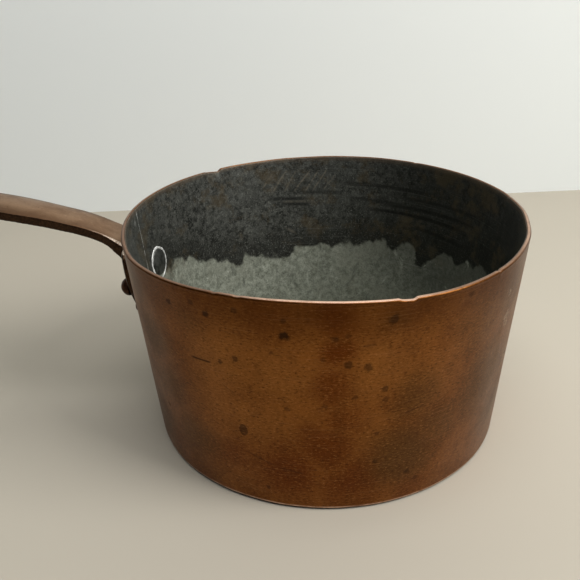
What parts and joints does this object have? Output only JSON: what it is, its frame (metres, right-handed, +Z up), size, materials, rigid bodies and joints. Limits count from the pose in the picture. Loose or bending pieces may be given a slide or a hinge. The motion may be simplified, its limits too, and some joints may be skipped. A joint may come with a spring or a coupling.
{
  "type": "copper saucepan",
  "caption": "Deep straight-sided copper saucepan, tinned inside, with a riveted shield-plate copper strap handle ending in a hanging eye.",
  "frame": {"origin": "centre of the pan's underside, on the surface it stands on", "axes": "+Z up along the pan's axis, -X along the handle, +Y across"},
  "size_m": [0.4599, 0.22, 0.1481],
  "materials": {
    "pan_copper": "aged brown copper patina, satin, spotted and lightly scratched, bright at the rim",
    "spelter": "dull brazing metal",
    "tin": "wiped tin, worn dark grey with pale scrapes",
    "handle_copper": "forged copper, rubbed pinkish brown",
    "rivet_copper": "dark hammered copper"
  },
  "bodies": {
    "root": {"pan_wall": "pan_copper", "pan_base": "pan_copper", "side_seam_braze": "spelter", "base_seam_braze": "spelter", "tin_lining": "tin", "handle": "handle_copper", "rivet_upper_left": "rivet_copper", "rivet_upper_right": "rivet_copper", "rivet_lower": "rivet_copper"}
  },
  "joints": []
}
